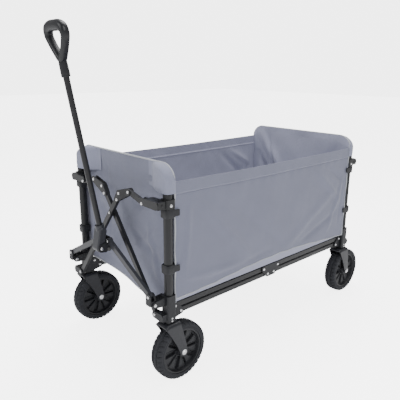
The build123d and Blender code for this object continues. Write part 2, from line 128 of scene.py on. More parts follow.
def sweep(path, across, upward, wide, high, sides=10, closed=False, power=1.0, material=0):
    # An oval carried along a path: centre + across * wide * cos(t) + upward * high * sin(t).
    t = np.linspace(0, 2 * np.pi, sides, endpoint=False)
    c = np.sign(np.cos(t)) * np.abs(np.cos(t)) ** power
    s = np.sign(np.sin(t)) * np.abs(np.sin(t)) ** power
    wide = np.broadcast_to(wide, len(path))[:, None, None]
    high = np.broadcast_to(high, len(path))[:, None, None]
    points = (path[:, None] + across[:, None] * wide * c[None, :, None]
              + upward[:, None] * high * s[None, :, None])
    if not closed:
        points = np.concatenate([np.broadcast_to(points[:1].mean(1, keepdims=True), points[:1].shape), points,
                                 np.broadcast_to(points[-1:].mean(1, keepdims=True), points[:1].shape)])
    return surface(points, wrapU=closed, wrapV=True, material=material)


def cordAlong(path, radius, sides=8, material=0):
    # A round tube along a path, its oval square to the path's direction.
    along = np.gradient(path, axis=0)
    along /= np.maximum(np.linalg.norm(along, axis=1, keepdims=True), 1e-12)
    helper = np.where(np.abs(along[:, 2:3]) > 0.9, [[1.0, 0, 0]], [[0, 0, 1.0]])
    across = np.cross(along, helper)
    across /= np.linalg.norm(across, axis=1, keepdims=True)
    return sweep(path, across, np.cross(across, along), radius, radius, sides, material=material)


def axesFor(axis):
    # A unit axis and two directions square to it.
    axis = np.asarray(axis, float) / np.linalg.norm(axis)
    helper = np.array([1.0, 0, 0]) if abs(axis[0]) < 0.9 else np.array([0, 0, 1.0])
    first = np.cross(axis, helper)
    first /= np.linalg.norm(first)
    return axis, first, np.cross(axis, first)


def lathe(profile, centre, axis, segments=48, shape=None, material=0):
    # A profile of (distance along the axis, radius) turned about the axis. shape, if given,
    # multiplies the radius by a function of the angle.
    axis, first, second = axesFor(axis)
    profile = np.asarray(profile, float)
    angle = np.linspace(0, 2 * np.pi, segments, endpoint=False)
    factor = np.ones(segments) if shape is None else shape(angle)
    ring = np.cos(angle)[:, None] * first + np.sin(angle)[:, None] * second
    points = (np.asarray(centre) + profile[:, None, :1] * axis
              + profile[:, None, 1:] * factor[None, :, None] * ring[None])
    return surface(points, wrapV=True, material=material)


def hexShape(angle):
    # Radius of a hexagon whose flats are one unit from its middle.
    turned = np.mod(angle, np.pi / 3) - np.pi / 6
    return 1.0 / np.cos(turned)


def smoothPath(points, count, closed=False):
    # A cubic through the points (Catmull-Rom), sampled evenly in its parameter.
    points = np.asarray(points, float)
    n = len(points)
    t = np.linspace(0, n if closed else n - 1, count, endpoint=not closed)
    i = np.minimum(t.astype(int), n - 1 if closed else n - 2)
    f = (t - i)[:, None]
    pick = (lambda k: points[np.mod(k, n)]) if closed else (lambda k: points[np.clip(k, 0, n - 1)])
    a, b, c, d = pick(i - 1), pick(i), pick(i + 1), pick(i + 2)
    return 0.5 * (2 * b + (c - a) * f + (2 * a - 5 * b + 4 * c - d) * f ** 2
                  + (3 * b - a - 3 * c + d) * f ** 3)


def makePiece(name, parts, materials, body, replaced=(), smoothAngle=40.0):
    # Joins the parts into one mesh, closes seams and poles, points its faces outwards.
    points, faces, uv, seam, slots, start = [], [], [], [], [], 0
    for part in parts:
        points.append(part["points"])
        faces.append(part["faces"] + start)
        uv.append(part["uv"])
        seam.append(part["seam"])
        slots.append(np.full(len(part["faces"]), part["material"]))
        start += len(part["points"])
    mesh = bpy.data.meshes.new(name)
    mesh.from_pydata(np.concatenate(points).tolist(), [], np.concatenate(faces).tolist())
    layer = mesh.uv_layers.new(name="UVMap")
    layer.data.foreach_set("uv", np.concatenate(uv).astype(np.float32).ravel())
    values = mesh.attributes.new("seam", "FLOAT", "POINT")
    values.data.foreach_set("value", np.concatenate(seam).astype(np.float32))
    mesh.polygons.foreach_set("material_index", np.concatenate(slots).astype(np.int32))
    mesh.polygons.foreach_set("use_smooth", np.ones(len(mesh.polygons), bool))
    for material in materials:
        mesh.materials.append(material)
    build = bmesh.new()
    build.from_mesh(mesh)
    bmesh.ops.remove_doubles(build, verts=build.verts, dist=1e-6)
    bmesh.ops.dissolve_degenerate(build, edges=build.edges, dist=1e-7)
    bmesh.ops.recalc_face_normals(build, faces=build.faces)
    limit = math.radians(smoothAngle)
    for edge in build.edges:
        if len(edge.link_faces) == 2 and edge.calc_face_angle(0) > limit:
            edge.smooth = False
    build.to_mesh(mesh)
    build.free()
    piece = bpy.data.objects.new(name, mesh)
    bpy.context.scene.collection.objects.link(piece)
    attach(piece, body)
    if replaced:
        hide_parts(*replaced)
    return piece


def fill(tree, socket, value):
    # Links the socket when the value is another node's output, and sets it otherwise.
    if isinstance(value, bpy.types.NodeSocket):
        tree.links.new(value, socket)
    else:
        socket.default_value = value


def addNode(tree, kind, settings=None, **inputs):
    # Adds a node, sets its properties and fills its inputs. in0 is the input numbered 0, and
    # an underscore stands for a space in a name.
    made = tree.nodes.new(kind)
    for key, value in (settings or {}).items():
        setattr(made, key, value)
    for key, value in inputs.items():
        numbered = key.startswith("in") and key[2:].isdigit()
        fill(tree, made.inputs[int(key[2:]) if numbered else key.replace("_", " ")], value)
    return made


def mathNode(tree, operation, a, b=0.0, c=0.0):
    made = tree.nodes.new("ShaderNodeMath")
    made.operation = operation
    for socket, value in zip(made.inputs, (a, b, c)):
        fill(tree, socket, value)
    return made.outputs[0]


def mixColour(tree, factor, a, b):
    made = tree.nodes.new("ShaderNodeMix")
    made.data_type = "RGBA"
    for number, value in ((0, factor), (6, a), (7, b)):   # the colour inputs of this node are 6 and 7
        fill(tree, made.inputs[number], value)
    return made.outputs[2]


def newGroup(name, inputs, outputs):
    group = bpy.data.node_groups.new(name, "ShaderNodeTree")
    for key, (kind, value) in inputs.items():
        socket = group.interface.new_socket(key, in_out="INPUT", socket_type=kind)
        if value is not None:
            socket.default_value = value
    for key in outputs:
        group.interface.new_socket(key, in_out="OUTPUT", socket_type="NodeSocketFloat")
    return group, group.nodes.new("NodeGroupInput").outputs, group.nodes.new("NodeGroupOutput").inputs


def grainGroup():
    # Fine grain, and a slow mottling ten to thirty times larger.
    group, given, made = newGroup("surfaceGrain", {
        "Vector": ("NodeSocketVector", None), "Scale": ("NodeSocketFloat", 900.0)}, ("Height", "Mottle"))
    fine = addNode(group, "ShaderNodeTexNoise", Vector=given["Vector"], Scale=given["Scale"], Detail=3.0)
    slow = addNode(group, "ShaderNodeTexNoise", Vector=given["Vector"],
                   Scale=mathNode(group, "MULTIPLY", given["Scale"], 0.03), Detail=4.0)
    group.links.new(fine.outputs["Fac"], made["Height"])
    group.links.new(slow.outputs["Fac"], made["Mottle"])
    return group


def wearGroup():
    # Scuffs where a coarse noise and a stretched fine noise are both high.
    group, given, made = newGroup("scuffs", {
        "Vector": ("NodeSocketVector", None), "Scale": ("NodeSocketFloat", 30.0),
        "Amount": ("NodeSocketFloat", 0.4)}, ("Mask",))
    coarse = addNode(group, "ShaderNodeTexNoise", Vector=given["Vector"], Scale=given["Scale"], Detail=5.0)
    fine = addNode(group, "ShaderNodeTexNoise", Vector=given["Vector"],
                   Scale=mathNode(group, "MULTIPLY", given["Scale"], 9.0), Detail=2.0)
    both = mathNode(group, "MULTIPLY", coarse.outputs["Fac"], fine.outputs["Fac"])
    start = mathNode(group, "SUBTRACT", 0.46, mathNode(group, "MULTIPLY", given["Amount"], 0.2))
    ranged = addNode(group, "ShaderNodeMapRange", {"interpolation_type": "SMOOTHSTEP"}, in0=both, in1=start,
                     in2=mathNode(group, "ADD", start, 0.1))
    group.links.new(ranged.outputs[0], made["Mask"])
    return group


def weaveGroup():
    # Plain weave: warp and weft threads are half sine ridges, and a checker says which is on top.
    group, given, made = newGroup("plainWeave", {
        "Vector": ("NodeSocketVector", None), "Pitch": ("NodeSocketFloat", 0.001)}, ("Height", "Warp"))
    parts = addNode(group, "ShaderNodeSeparateXYZ", in0=given["Vector"])
    counts = [mathNode(group, "DIVIDE", parts.outputs[k], given["Pitch"]) for k in (0, 1)]
    ridges = []
    for count in counts:
        wave = mathNode(group, "SINE", mathNode(group, "MULTIPLY", count, math.pi))
        ridges.append(mathNode(group, "ABSOLUTE", wave))
    whole = mathNode(group, "ADD", mathNode(group, "FLOOR", counts[0]), mathNode(group, "FLOOR", counts[1]))
    over = mathNode(group, "FLOORED_MODULO", whole, 2.0)
    under = mathNode(group, "SUBTRACT", 1.0, over)
    height = mathNode(group, "ADD", mathNode(group, "MULTIPLY", ridges[0], over),
                      mathNode(group, "MULTIPLY", ridges[1], under))
    group.links.new(height, made["Height"])
    group.links.new(over, made["Warp"])
    return group


grain, wear, weave = grainGroup(), wearGroup(), weaveGroup()


def useGroup(tree, group, **inputs):
    made = tree.nodes.new("ShaderNodeGroup")
    made.node_tree = group
    for key, value in inputs.items():
        fill(tree, made.inputs[key], value)
    return made.outputs


def newMaterial(name, **shader):
    # A Principled material; values that are the same all over are set on its own sockets.
    material = bpy.data.materials.new(name)
    material.use_nodes = True
    tree = material.node_tree
    principled = tree.nodes["Principled BSDF"]
    for key, value in shader.items():
        principled.inputs[key.replace("_", " ")].default_value = value
    return material, tree, principled


def colour(value, tint=(1.0, 1.0, 1.0)):
    return (value * tint[0], value * tint[1], value * tint[2], 1.0)


def bumpTo(tree, principled, height, strength, distance):
    bump = addNode(tree, "ShaderNodeBump", Height=height, Strength=strength, Distance=distance)
    tree.links.new(bump.outputs["Normal"], principled.inputs["Normal"])


def paintMaterial(name, base, worn, roughness, grainScale=500.0, bump=0.12, wearAmount=0.3,
                  tint=(1.0, 1.05, 1.28), metal=0.0):
    # Hard finishes: mottled base, paler scuffs, roughness that follows both, and a fine bump.
    material, tree, principled = newMaterial(name, Specular_IOR_Level=0.36, Metallic=metal)
    place = addNode(tree, "ShaderNodeTexCoord").outputs["Object"]
    grained = useGroup(tree, grain, Vector=place, Scale=grainScale)
    scuffed = useGroup(tree, wear, Vector=place, Amount=wearAmount)
    body = mixColour(tree, grained["Mottle"], colour(base * 0.8, tint), colour(base * 1.2, tint))
    shown = mixColour(tree, scuffed["Mask"], body, colour(worn, tint))
    tree.links.new(shown, principled.inputs["Base Color"])
    rough = mathNode(tree, "MULTIPLY_ADD", grained["Mottle"], 0.2, roughness - 0.1)
    rough = mathNode(tree, "MULTIPLY_ADD", scuffed["Mask"], 0.15, rough)
    tree.links.new(rough, principled.inputs["Roughness"])
    bumpTo(tree, principled, grained["Height"], bump, 0.0004)
    return material


stitchSize = {"length": 3.6 * mm, "drawn": 0.68, "half": 0.7 * mm}   # drawn is the share with thread on top


def clothMaterial(name, dark, light, pitch, tint, stitch=0.5):
    # Woven cloth: threads from the weave, slow colour variation, stitches along the seams.
    material, tree, principled = newMaterial(
        name, Sheen_Weight=0.25, Sheen_Roughness=0.5, Specular_IOR_Level=0.25)
    uv = addNode(tree, "ShaderNodeUVMap", {"uv_map": "UVMap"}).outputs["UV"]
    place = addNode(tree, "ShaderNodeTexCoord").outputs["Object"]
    woven = useGroup(tree, weave, Vector=uv, Pitch=pitch)
    grained = useGroup(tree, grain, Vector=place, Scale=400.0)
    slub = addNode(tree, "ShaderNodeTexNoise", Vector=uv, Scale=260.0, Detail=2.0).outputs["Fac"]
    tone = mathNode(tree, "MULTIPLY_ADD", woven["Height"], 0.35, mathNode(tree, "MULTIPLY", slub, 0.3))
    tone = mathNode(tree, "MULTIPLY_ADD", grained["Mottle"], 0.5, tone)
    base = mixColour(tree, tone, colour(dark, tint), colour(light, tint))
    seam = addNode(tree, "ShaderNodeAttribute", {"attribute_name": "seam"}).outputs["Fac"]
    parts = addNode(tree, "ShaderNodeSeparateXYZ", in0=uv)
    along = mathNode(tree, "ADD", parts.outputs[0], parts.outputs[1])
    step = mathNode(tree, "FRACT", mathNode(tree, "DIVIDE", along, stitchSize["length"]))
    dash = mathNode(tree, "LESS_THAN", step, stitchSize["drawn"])
    close = mathNode(tree, "LESS_THAN", mathNode(tree, "ABSOLUTE", seam), stitchSize["half"])
    thread = mathNode(tree, "MULTIPLY", dash, close)
    tree.links.new(mixColour(tree, thread, base, colour(stitch, tint)), principled.inputs["Base Color"])
    rough = mathNode(tree, "MULTIPLY_ADD", woven["Height"], -0.12, 0.86)
    tree.links.new(rough, principled.inputs["Roughness"])
    raised = mathNode(tree, "MULTIPLY_ADD", thread, 1.5, woven["Height"])
    bumpTo(tree, principled, raised, 0.35, 0.00025)
    return material


clothTint = (1.0, 1.05, 1.42)
liner = clothMaterial("linerCloth", 0.150, 0.205, 0.0009, clothTint, 0.24)
inner = clothMaterial("innerCloth", 0.285, 0.370, 0.0009, (1.0, 1.03, 1.34), 0.30)
# the pockets use the liner's cloth made lighter: painted light on the top band round the posts, where the
# light falls
pocketCloth = clothMaterial("pocketCloth", 0.205, 0.275, 0.0009, clothTint, 0.24)
binding = clothMaterial("edgeBinding", 0.36, 0.46, 0.0012, (1.0, 1.04, 1.12))
matting = clothMaterial("floorCloth", 0.085, 0.12, 0.0016, (1.0, 1.03, 1.30), 0.15)
steel = paintMaterial("powderCoat", 0.0115, 0.038, 0.36, tint=(1.0, 1.04, 1.22))
casting = paintMaterial("mouldedCasting", 0.014, 0.035, 0.50, 350.0, 0.2)
forkPaint = paintMaterial("forkEnamel", 0.021, 0.07, 0.36, 450.0, 0.08, 0.35)
yokePaint = paintMaterial("yokeEnamel", 0.030, 0.09, 0.34, 450.0, 0.08, 0.35)
gripPlastic = paintMaterial("gripPlastic", 0.012, 0.03, 0.34, 900.0, 0.12, 0.15)
wheelPlastic = paintMaterial("wheelPlastic", 0.016, 0.045, 0.46, 600.0, 0.15, 0.3)
tread = paintMaterial("treadRubber", 0.021, 0.06, 0.80, 1500.0, 0.5, 0.45)
zinc = paintMaterial("zincPlate", 0.68, 0.40, 0.26, 300.0, 0.08, 0.4, (1, 1, 1.02), metal=1.0)
print("materials made")


clothSize = {"thickness": 1.8 * mm, "cordRadius": 2.3 * mm, "hem": 33 * mm, "endHem": 16 * mm}


def smoothStep(low, high, value):
    t = np.clip((value - low) / (high - low), 0, 1)
    return t * t * (3 - 2 * t)


def softNoise(a, b, seed, size, waves=9):
    # Sum of plane waves with seeded directions and phases, about -1 to 1.
    draw = np.random.default_rng(seed)
    angle = draw.uniform(0, 2 * np.pi, waves)
    phase = draw.uniform(0, 2 * np.pi, waves)
    length = size * draw.uniform(0.7, 1.8, waves)
    total = sum(np.sin(2 * np.pi * (a * math.cos(t) + b * math.sin(t)) / s + p)
                for t, p, s in zip(angle, phase, length))
    return total / waves * 1.6


def crease(a, b, start, end, width, height):
    # A ridge along a line: a bell across it, fading out towards both ends.
    start, end = np.array(start, float), np.array(end, float)
    run = end - start
    long = np.hypot(*run)
    t = ((a - start[0]) * run[0] + (b - start[1]) * run[1]) / long ** 2
    off = ((a - start[0]) * run[1] - (b - start[1]) * run[0]) / long
    taper = np.clip(4 * t * (1 - t), 0, 1) * (t > 0) * (t < 1)
    return height * np.exp(-(off / width) ** 2) * taper


panelHigh = nodeBox("front_panel")[1]
sideLow, sideHigh = nodeBox("right_side_panel")
endInnerX = sideLow[0] - 0.3 * mm      # inside face of the front panel
linerY = -sideLow[1]
sideTop, linerBottom, endTop = sideHigh[2], sideLow[2], panelHigh[2]
neckTop = sideTop - 30.6 * mm      # top of the bracket that the pockets stand on
pocketReach = panelHigh[1]
halfLength = middleX - endInnerX
# folded share of the liner's length, and of the distance between the right and left posts
foldKeep = {"long": 0.2955, "wide": 0.4666}

sideShape = {
    "creases": [  # along and up from the front lower corner of the panel, in metres
        ((0.05, 0.30), (0.33, 0.02), 0.016, 0.0035),
        ((0.16, 0.27), (0.47, 0.04), 0.020, -0.0030),
        ((0.02, 0.06), (0.30, 0.035), 0.010, 0.0035),
        ((0.10, 0.02), (0.42, 0.05), 0.009, -0.0028),
        ((0.45, 0.03), (0.78, 0.22), 0.016, 0.0030),
        ((0.52, 0.02), (0.80, 0.12), 0.011, -0.0030),
        ((0.60, 0.29), (0.81, 0.12), 0.012, 0.0035),
        ((0.66, 0.29), (0.82, 0.20), 0.009, -0.0030),
        ((0.70, 0.02), (0.81, 0.26), 0.010, 0.0030),
        ((0.78, 0.04), (0.80, 0.27), 0.006, -0.0025),
        ((0.03, 0.05), (0.05, 0.28), 0.008, 0.0025),
    ],
    "bulge": 5.5 * mm, "depth": 1.7, "waves": (2.6 * mm, 0.17), "ripples": (0.7 * mm, 0.05),   # height, size
    "hemStep": 1.4 * mm, "hemDip": 1.6 * mm, "pucker": 0.5 * mm, "seed": {right: 11, left: 23},
    "lowerEdge": [0.008, 0.011, 0.020, 0.024, 0.021, 0.010, 0.001],   # above the CAD panel's lower edge
}


def sidePanel(side):
    # Along the wagon by height: a flat side pushed out by a bulge, soft waves and creases,
    # with a doubled hem along the top.
    sign = -1 if side == right else 1
    hemShare = 1 - clothSize["hem"] / (sideTop - linerBottom)
    rows = np.concatenate([np.linspace(0, hemShare - 0.02, 42), hemShare + np.linspace(-0.015, 0.015, 11),
                           np.linspace(hemShare + 0.02, 1, 9)])
    count = (150, len(rows))
    s, t = np.meshgrid(np.linspace(0, 1, count[0]), rows, indexing="ij")
    along = s * 2 * halfLength
    knots = np.linspace(0, 1, len(sideShape["lowerEdge"]))
    lower = smoothPath(np.stack([knots, sideShape["lowerEdge"]], axis=1), count[0])[:, 1]
    lower += 0.0008 * np.sin(along[:, 0] * 75) * smoothStep(0, 0.1, s[:, 0]) * smoothStep(1, 0.9, s[:, 0])
    bottom = (linerBottom + lower)[:, None]
    top = sideTop - 0.0025 * np.sin(np.pi * s)
    z = bottom + (top - bottom) * t
    up = z - linerBottom
    rim = (smoothStep(0, 0.06, s) * smoothStep(1, 0.94, s)
           * smoothStep(0, 0.10, t) * smoothStep(1, 0.86, t))
    out = sideShape["bulge"] * np.sin(np.pi * s) ** 0.7 * np.sin(np.pi * t)
    seed, (wave, waveSize), (ripple, rippleSize) = (
        sideShape["seed"][side], sideShape["waves"], sideShape["ripples"])
    out += rim * (wave * softNoise(along, up, seed, waveSize)
                  + ripple * softNoise(along, up, seed + 1, rippleSize))
    for start, end, width, height in sideShape["creases"]:
        out += rim * sideShape["depth"] * crease(along, up, start, end, width, height)
    hemLine = top - clothSize["hem"]
    out += (sideShape["hemStep"] * smoothStep(-0.0012, 0.0012, z - hemLine)
            - sideShape["hemDip"] * np.exp(-((z - hemLine) / 0.0022) ** 2))
    pucker = np.sin(along * 130 + softNoise(along, up, seed + 2, 0.2) * 3)
    out += sideShape["pucker"] * pucker * smoothStep(0.03, 0, np.abs(z - hemLine)) * rim
    y = sign * (linerY - clothSize["thickness"] - 0.6 * mm + out)
    points = np.stack([endInnerX + along, y, z], axis=-1)
    seam = np.minimum(np.abs(z - hemLine - 2 * mm), np.abs(z - bottom - 4 * mm))
    parts = thickSheet(points, clothSize["thickness"], seam)
    parts[1 if side == right else 0]["material"] = 1
    # the strip of floor cloth that closes the gap below the side's lower edge
    stripRow = np.linspace(-0.0015, 1, 6)[None, :]
    stripZ = linerBottom + (bottom - linerBottom + 9 * mm) * stripRow
    stripY = sign * (linerY - 3.4 * mm + 0.6 * mm * softNoise(along[:, :6], stripZ, seed + 7, 0.08))
    strip = np.stack([endInnerX + along[:, :6], stripY + 0 * stripZ, stripZ], axis=-1)
    below = thickSheet(strip, clothSize["thickness"] * 0.6)
    for part in below:
        part["material"] = 1
    parts += below
    edge = points[:, 0] + [0, sign * 0.4 * mm, 0]
    parts.append(cordAlong(edge, clothSize["cordRadius"] * 0.8, material=2))
    piece = makePiece(f"{side}_side_cloth", parts, [liner, inner, binding], f"front_{side}_inner_post",
                      [f"{side}_side_panel"], 70)
    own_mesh(piece)


endShape = {
    "cornerRadius": 48 * mm,
    "depth": 1.5, "waves": (2.6 * mm, 0.15), "ripples": (0.8 * mm, 0.05), "dish": 6 * mm,
    "seed": {front: 31, rear: 47}, "postHalf": 36 * mm, "closing": 12 * mm,
    "creases": [  # from the middle (+ is left) and up from the lower edge
        ((-0.21, 0.34), (-0.05, 0.31), 0.010, 0.0030),
        ((-0.20, 0.30), (-0.02, 0.22), 0.014, -0.0035),
        ((-0.20, 0.20), (0.02, 0.06), 0.016, 0.0035),
        ((-0.19, 0.08), (-0.02, 0.16), 0.012, -0.0030),
        ((0.20, 0.34), (0.04, 0.20), 0.014, 0.0035),
        ((0.19, 0.26), (0.03, 0.08), 0.016, -0.0035),
        ((0.21, 0.10), (0.02, 0.03), 0.012, 0.0030),
        ((0.09, 0.02), (0.092, 0.375), 0.0045, -0.0012),
        ((-0.16, 0.02), (-0.10, 0.20), 0.010, 0.0030),
    ],
    "rearCreases": [
        ((0.20, 0.36), (0.03, 0.16), 0.020, -0.0075),
        ((0.21, 0.28), (0.10, 0.10), 0.014, 0.0070),
        ((0.16, 0.37), (0.08, 0.14), 0.010, 0.0050),
        ((-0.20, 0.34), (-0.06, 0.20), 0.018, 0.0055),
        ((-0.21, 0.26), (-0.05, 0.24), 0.012, -0.0045),
        ((-0.18, 0.20), (0.02, 0.06), 0.018, 0.0050),
        ((0.19, 0.12), (0.02, 0.04), 0.014, -0.0050),
    ],
    "sag": [0.000, -0.012, -0.026, -0.020, -0.006, 0.001, 0.003, 0.004, 0.002],   # lower edge, right to left
}


def topEdge(y):
    # Height of the end panel's top edge: level, with a quarter circle at each corner.
    radius = endShape["cornerRadius"]
    past = np.clip(np.abs(y) - (pocketReach - radius), 0, radius)
    return endTop - radius + np.sqrt(radius ** 2 - past ** 2)


def endPanel(end):
    # The sheet behind the posts, and a pocket in front of each post from its neck up.
    sign = -1 if end == front else 1
    wall = halfLength + 1.0 * mm
    thickness = clothSize["thickness"]
    s, t = np.meshgrid(np.linspace(-1, 1, 84), np.linspace(0, 1, 60), indexing="ij")
    y = s * (linerY + 1.0 * mm)
    knots = np.linspace(-1, 1, len(endShape["sag"]))
    sag = smoothPath(np.stack([knots, endShape["sag"]], axis=1), 84)[:, 1]
    bottom = (linerBottom + sag)[:, None]
    top = topEdge(y) - 1.0 * mm
    z = bottom + (top - bottom) * t
    up = z - linerBottom
    rim = smoothStep(1, 0.93, np.abs(s)) * smoothStep(0, 0.08, t) * smoothStep(1, 0.93, t)
    seed, (wave, waveSize), (ripple, rippleSize) = (
        endShape["seed"][end], endShape["waves"], endShape["ripples"])
    out = rim * (wave * softNoise(y, up, seed, waveSize) + ripple * softNoise(y, up, seed + 1, rippleSize))
    out -= endShape["dish"] * np.sin(np.pi * t) * np.cos(np.pi * s / 2)
    for start, finish, width, height in endShape["creases" if end == front else "rearCreases"]:
        out += rim * endShape["depth"] * crease(y, up, start, finish, width, height)
    # behind a post the cloth stays on the inner side of it
    postX, postY = np.abs(postAt[front, right][:2] - [middleX, 0])
    nearPost = np.exp(-((np.abs(y) - postY) / endShape["postHalf"]) ** 4)
    out = np.where(out > 0, out * (1 - nearPost), out)
    hemLine = top - clothSize["endHem"]
    out -= 0.0006 * np.exp(-((z - hemLine) / 0.0016) ** 2)
    points = np.stack([middleX + sign * (wall + out), y, z], axis=-1)
    seam = np.minimum(np.abs(z - hemLine), np.abs(z - bottom - 4 * mm))
    parts = thickSheet(points, thickness, seam)
    parts[0 if end == front else 1]["material"] = 1

    pocketBottom = neckTop + 1.2 * mm
    # path of the pocket round the post: distance out from the middle, distance to the side
    outline = smoothPath([(wall + 1.0 * mm, postY - 0.098), (wall + 3.0 * mm, postY - 0.080),
                          (postX + 0.001, postY - 0.050), (postX + 0.0095, postY - 0.026),
                          (postX + 0.0128, postY - 0.004), (postX + 0.0105, postY + 0.0075),
                          (postX + 0.001, postY + 0.0125), (wall + 3.0 * mm, postY + 0.0122),
                          (wall - 1.5 * mm, postY + 0.0105)], 56)
    for side, sideName in ((-1, right), (1, left)):
        post = f"{end}_{sideName}_inner_post"
        w = np.linspace(0, 1, 26)[None, :]
        out = outline[:, :1] - wall
        y = np.broadcast_to(side * outline[:, 1:], (56, 26))
        roof = topEdge(y) - 1.0 * mm
        low = pocketBottom + 0.004 * smoothStep(postY - 0.04, postY - 0.11, np.abs(y[:, :1]))
        z = low + (roof - low) * w
        near = np.clip(1 - (roof - z) / endShape["closing"], 0, 1)
        closing = np.sqrt(1 - near ** 2)
        folds = 0.0013 * softNoise(y, z, seed + 5, 0.045) * smoothStep(0, 0.3, w) * smoothStep(1, 0.7, w)
        gathers = np.sin((z - pocketBottom) * 190 + y * 40)
        folds = folds + 0.0014 * gathers * smoothStep(0.0, 0.012, out) * smoothStep(0.45, 0, w)
        x = middleX + sign * (wall + out * (0.12 + 0.88 * closing) + folds * smoothStep(0, 0.02, out))
        pocket = np.stack([x, y, z], axis=-1)
        layers = thickSheet(pocket, thickness * 0.8, np.abs(z - low - 3.5 * mm))
        # the pocket's cloth is the liner's cloth made lighter, which paints light on the top band
        sewn = makePiece(f"{end}_{sideName}_pocket", layers, [pocketCloth], post, (), 70)

    # binding along the top edge and down both corners
    yEdge = np.linspace(-1, 1, 160) * (pocketReach - 1.5 * mm)
    edgeX = np.full(160, middleX + sign * (wall + 2.2 * mm))
    edge = np.stack([edgeX, yEdge, topEdge(yEdge) - 1.2 * mm], axis=1)
    edge = edge[(np.abs(yEdge) < linerY + 0.5 * mm)]
    zCorner = np.linspace(linerBottom + 2 * mm, edge[0, 2], 60)[:-1]
    cornerX = np.full(59, middleX + sign * (wall + 0.6 * mm))
    for k, side in ((0, -1), (-1, 1)):
        corner = np.stack([cornerX, np.full(59, edge[k, 1]), zCorner], axis=1)
        corner[:, 1] += side * 0.0008 * np.sin(zCorner * 60)
        edge = np.concatenate([corner, edge]) if side < 0 else np.concatenate([edge, corner[::-1]])
    parts.append(cordAlong(edge, clothSize["cordRadius"], material=2))
    hem = points[:, 0] + [sign * 0.6 * mm, 0, 0]
    parts.append(cordAlong(hem, clothSize["cordRadius"] * 0.8, material=2))

    piece = makePiece(f"{end}_end_cloth", parts, [liner, inner, binding], f"{end}_right_inner_post",
                      [f"{end}_panel"], 70)
    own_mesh(piece)


for side in (right, left):
    sidePanel(side)
for end in (front, rear):
    endPanel(end)
print("liner made")

matSize = {"boards": 2, "fold": 2.2 * mm, "pinch": 0.7, "strip": 110 * mm, "stripReach": 203 * mm,
           "side": 1.4 * mm, "widens": (42 * mm, 50 * mm)}


def slab(start, length, reach, boards, middle, thick):
    # Cloth over a board: two faces that thin at each fold and close at the rim.
    rows = np.concatenate([[0, 0.0002, 0.001], np.linspace(0.02, 0.47, 12), np.linspace(0.485, 0.515, 9),
                           np.linspace(0.53, 0.98, 12), [0.999, 0.9998, 1]])
    columns = np.concatenate([[-1, -0.998, -0.992], np.linspace(-0.98, 0.98, 40), [0.992, 0.998, 1]])
    u, v = np.meshgrid(rows, columns, indexing="ij")
    reach = reach(u)
    x, y = start + u * length, v * reach
    fold = np.mod(u * boards + 0.5, 1.0) - 0.5
    atFold = np.exp(-(fold * length / boards / matSize["fold"]) ** 2) * (u > 0.1) * (u < 0.9)
    rim = (np.clip(1 - (2 * np.abs(u - 0.5)) ** 4000, 0, 1) ** 0.5
           * np.clip(1 - np.abs(v) ** 160, 0, 1) ** 0.5)
    swell = rim * thick * (1 - matSize["pinch"] * atFold) * (1 - 0.12 * softNoise(x, y, 5, 0.12) ** 2)
    seam = np.minimum(np.abs(np.abs(fold) * length / boards - 5 * mm), (1 - np.abs(v)) * reach - 5 * mm)
    topFace = np.stack([x, y, middle + swell], axis=-1)
    lowFace = np.stack([x, y, middle - swell], axis=-1)[:, ::-1]
    return [surface(topFace, uv=arcUv(topFace), seam=seam),
            surface(lowFace, uv=arcUv(lowFace), seam=seam[:, ::-1])]


def floorPieces(end):
    # Two boards that turn up with the rails, and the strip of floor that stays by the end panel.
    low, high = nodeBox("floor_mat")
    half = (high[0] - low[0]) / 2
    strip = matSize["strip"]
    if end == front:
        boardStart, stripStart = low[0] + strip, low[0]
    else:
        boardStart, stripStart = high[0] - half, high[0] - strip + 0.1 * mm
    thick, middle = (high[2] - low[2]) / 2, (high[2] + low[2]) / 2
    narrow, wide = matSize["stripReach"], high[1] - matSize["side"]

    def stripEdge(u):
        # narrow beside the rails' pivots, and as wide as the boards past them
        fromEnd = (u if end == front else 1 - u) * strip
        return narrow + (wide - narrow) * smoothStep(*matSize["widens"], fromEnd)

    boards = slab(boardStart, half - strip, lambda u: wide + 0 * u, matSize["boards"], middle, thick)
    turning = makePiece(f"{end}_floor_boards", boards, [matting], f"right_{end}_upper_rail",
                        ["floor_mat"] if end == front else (), 50)
    still = slab(stripStart, strip - 0.1 * mm, stripEdge, 1, middle, thick)
    staying = makePiece(f"{end}_floor_strip", still, [matting], f"{end}_right_frame", (), 50)
    # the strip keeps its distance from the rails on both sides, so it keeps less of its width
    inward = (1 - foldKeep["wide"]) * 2 * abs(postAt[end, right][1])
    places = {turning: (postAt[end, right][1], foldKeep["wide"]),
              staying: (-narrow, 1 - inward / (2 * narrow))}
    for piece, (anchorY, keep) in places.items():
        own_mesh(piece)


for end in (front, rear):
    floorPieces(end)
print("floor made")


wheelSize = {"treadBlocks": 34, "treadDepth": 2.6 * mm, "dish": 9 * mm, "slotDepth": 7 * mm,
             "slotHalf": (2.8 * mm, 6.5 * mm), "spokes": 5, "hubRadius": 15 * mm}


def wheelFacts(corner):
    # Middle, radius and half width of the tyre, and the rim's radius.
    low, high = nodeBox(f"{corner}_tyre")
    rimLow, rimHigh = nodeBox(f"{corner}_wheel_rim")
    return (low + high) / 2, (high[2] - low[2]) / 2, (high[1] - low[1]) / 2, (rimHigh[2] - rimLow[2]) / 2


